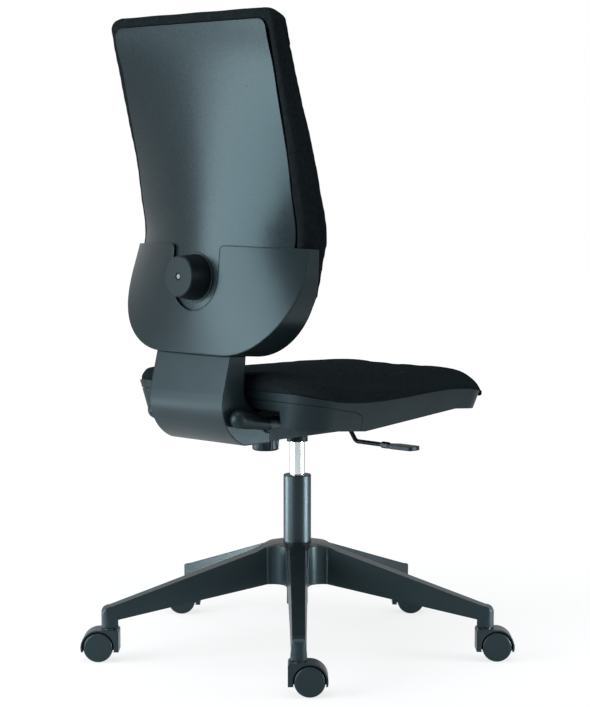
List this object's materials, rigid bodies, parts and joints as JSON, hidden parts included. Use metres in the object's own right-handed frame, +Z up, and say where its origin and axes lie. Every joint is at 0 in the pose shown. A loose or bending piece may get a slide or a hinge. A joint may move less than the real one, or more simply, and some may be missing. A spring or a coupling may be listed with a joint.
{
  "type": "office chair",
  "caption": "Swivel office chair with an upholstered seat and a tall back in a U-shaped carrier, on a gas column and a star base with twin-wheel casters.",
  "frame": {"origin": "on the floor under the column's axis", "axes": "+Z up, the sitter faces -Y, the sitter's right is -X"},
  "size_m": [0.756, 0.7515, 1.121],
  "materials": {
    "steel": "bright zinc",
    "black_steel": "black powder coat",
    "chrome": "polished",
    "frame_plastic": "fine satin",
    "panel_plastic": "satin",
    "wheel_plastic": "satin",
    "board_wood": "raw plywood",
    "fabric": "woven"
  },
  "bodies": {
    "base": {"star_base": "frame_plastic", "column_tube": "black_steel", "guide_bush": "frame_plastic", "thrust_bearing": "steel"},
    "column_rod": {"piston_rod": "steel", "rod_clip": "steel"},
    "seat": {"gas_cylinder": "chrome", "mechanism_housing": "black_steel", "seat_board": "board_wood", "seat_shell": "frame_plastic", "rear_cover": "frame_plastic", "seat_cushion": "fabric", "seat_fasteners": "steel", "tilt_axle": "steel", "tension_spring": "steel"},
    "lever": {"lever_rod": "black_steel", "lever_grip": "frame_plastic"},
    "release_pin": {"release_pin": "steel"},
    "tension_control": {"tension_knob": "frame_plastic", "tension_screw": "steel"},
    "tension_nut": {"tension_nut": "steel"},
    "back_arm": {"back_upright": "black_steel", "spine_cover": "frame_plastic", "spine_front_cover": "frame_plastic", "back_carrier": "panel_plastic", "carrier_screws": "steel", "tilt_arm_left": "frame_plastic", "tilt_arm_right": "frame_plastic"},
    "backrest": {"back_shell": "panel_plastic", "back_board": "board_wood", "back_cushion": "fabric", "clamp_plate": "steel", "back_screws": "steel"},
    "height_control": {"height_knob": "frame_plastic", "knob_stud": "steel"},
    "caster_1": {"caster_1_body": "frame_plastic", "caster_1_stem": "steel", "caster_1_axle": "steel"},
    "caster_1_left": {"caster_1_wheel_left": "wheel_plastic"},
    "caster_1_right": {"caster_1_wheel_right": "wheel_plastic"},
    "caster_2": {"caster_2_body": "frame_plastic", "caster_2_stem": "steel", "caster_2_axle": "steel"},
    "caster_2_left": {"caster_2_wheel_left": "wheel_plastic"},
    "caster_2_right": {"caster_2_wheel_right": "wheel_plastic"},
    "caster_3": {"caster_3_body": "frame_plastic", "caster_3_stem": "steel", "caster_3_axle": "steel"},
    "caster_3_left": {"caster_3_wheel_left": "wheel_plastic"},
    "caster_3_right": {"caster_3_wheel_right": "wheel_plastic"},
    "caster_4": {"caster_4_body": "frame_plastic", "caster_4_stem": "steel", "caster_4_axle": "steel"},
    "caster_4_left": {"caster_4_wheel_left": "wheel_plastic"},
    "caster_4_right": {"caster_4_wheel_right": "wheel_plastic"},
    "caster_5": {"caster_5_body": "frame_plastic", "caster_5_stem": "steel", "caster_5_axle": "steel"},
    "caster_5_left": {"caster_5_wheel_left": "wheel_plastic"},
    "caster_5_right": {"caster_5_wheel_right": "wheel_plastic"}
  },
  "joints": [
    {"name": "column_swivel", "type": "hinge", "parent": "base", "child": "column_rod", "pos_m": [0, 0, 0.2], "axis": [0, 0, 1], "continuous": true},
    {"name": "seat_height", "type": "slide", "parent": "column_rod", "child": "seat", "axis": [0, 0, 1], "range_m": [-0.055, 0.065]},
    {"name": "lever_lift", "type": "hinge", "parent": "seat", "child": "lever", "pos_m": [-0.0585, -0.06, 0.408], "axis": [0, 1, 0], "range_deg": [0, 5], "stiffness_Nm_per_rad": 2},
    {"name": "pin_press", "type": "slide", "parent": "seat", "child": "release_pin", "axis": [0, 0, 1], "range_m": [-0.0053, 0]},
    {"name": "back_recline", "type": "hinge", "parent": "seat", "child": "back_arm", "pos_m": [0, 0.165, 0.43], "axis": [-1, 0, 0], "range_deg": [0, 18], "stiffness_Nm_per_rad": 80, "springref_deg": -14.32, "deforming": ["tension_spring"]},
    {"name": "tension_turn", "type": "hinge", "parent": "seat", "child": "tension_control", "pos_m": [0, 0.081, 0.38], "axis": [0, 0, 1], "range_deg": [-480, 960]},
    {"name": "nut_travel", "type": "slide", "parent": "seat", "child": "tension_nut", "axis": [0, 0, 1], "range_m": [-0.004, 0.002], "deforming": ["tension_spring"]},
    {"name": "back_height", "type": "slide", "parent": "back_arm", "child": "backrest", "axis": [0, -0.0785, 0.9969], "range_m": [0, 0.06]},
    {"name": "knob_turn", "type": "hinge", "parent": "backrest", "child": "height_control", "pos_m": [0, 0.255, 0.678], "axis": [0, 0.9969, 0.0785], "range_deg": [0, 540]},
    {"name": "caster_1_swivel", "type": "hinge", "parent": "base", "child": "caster_1", "pos_m": [-0.2431, 0.24999, 0.07], "axis": [0, 0, 1], "continuous": true},
    {"name": "caster_1_left_roll", "type": "hinge", "parent": "caster_1", "child": "caster_1_left", "pos_m": [-0.25609, 0.23753, 0.026], "axis": [0.6921, -0.7218, 0], "continuous": true},
    {"name": "caster_1_right_roll", "type": "hinge", "parent": "caster_1", "child": "caster_1_right", "pos_m": [-0.25609, 0.23753, 0.026], "axis": [0.6921, -0.7218, 0], "continuous": true},
    {"name": "caster_2_swivel", "type": "hinge", "parent": "base", "child": "caster_2", "pos_m": [-0.31287, -0.15395, 0.07], "axis": [0, 0, 1], "continuous": true},
    {"name": "caster_2_left_roll", "type": "hinge", "parent": "caster_2", "child": "caster_2_left", "pos_m": [-0.32587, -0.16641, 0.026], "axis": [0.6921, -0.7218, 0], "continuous": true},
    {"name": "caster_2_right_roll", "type": "hinge", "parent": "caster_2", "child": "caster_2_right", "pos_m": [-0.32587, -0.16641, 0.026], "axis": [0.6921, -0.7218, 0], "continuous": true},
    {"name": "caster_3_swivel", "type": "hinge", "parent": "base", "child": "caster_3", "pos_m": [0.04973, -0.34513, 0.07], "axis": [0, 0, 1], "continuous": true},
    {"name": "caster_3_left_roll", "type": "hinge", "parent": "caster_3", "child": "caster_3_left", "pos_m": [0.03674, -0.35759, 0.026], "axis": [0.6921, -0.7218, 0], "continuous": true},
    {"name": "caster_3_right_roll", "type": "hinge", "parent": "caster_3", "child": "caster_3_right", "pos_m": [0.03674, -0.35759, 0.026], "axis": [0.6921, -0.7218, 0], "continuous": true},
    {"name": "caster_4_swivel", "type": "hinge", "parent": "base", "child": "caster_4", "pos_m": [0.34361, -0.05935, 0.07], "axis": [0, 0, 1], "continuous": true},
    {"name": "caster_4_left_roll", "type": "hinge", "parent": "caster_4", "child": "caster_4_left", "pos_m": [0.3566, -0.04689, 0.026], "axis": [-0.6921, 0.7218, 0], "continuous": true},
    {"name": "caster_4_right_roll", "type": "hinge", "parent": "caster_4", "child": "caster_4_right", "pos_m": [0.3566, -0.04689, 0.026], "axis": [-0.6921, 0.7218, 0], "continuous": true},
    {"name": "caster_5_swivel", "type": "hinge", "parent": "base", "child": "caster_5", "pos_m": [0.16263, 0.30845, 0.07], "axis": [0, 0, 1], "continuous": true},
    {"name": "caster_5_left_roll", "type": "hinge", "parent": "caster_5", "child": "caster_5_left", "pos_m": [0.17562, 0.32091, 0.026], "axis": [-0.6921, 0.7218, 0], "continuous": true},
    {"name": "caster_5_right_roll", "type": "hinge", "parent": "caster_5", "child": "caster_5_right", "pos_m": [0.17562, 0.32091, 0.026], "axis": [-0.6921, 0.7218, 0], "continuous": true}
  ],
  "couplings": [
    {"joint": "pin_press", "follows": "lever_lift", "m_per_rad": -0.06},
    {"joint": "nut_travel", "follows": "tension_turn", "m_per_rad": -0.00023873}
  ]
}
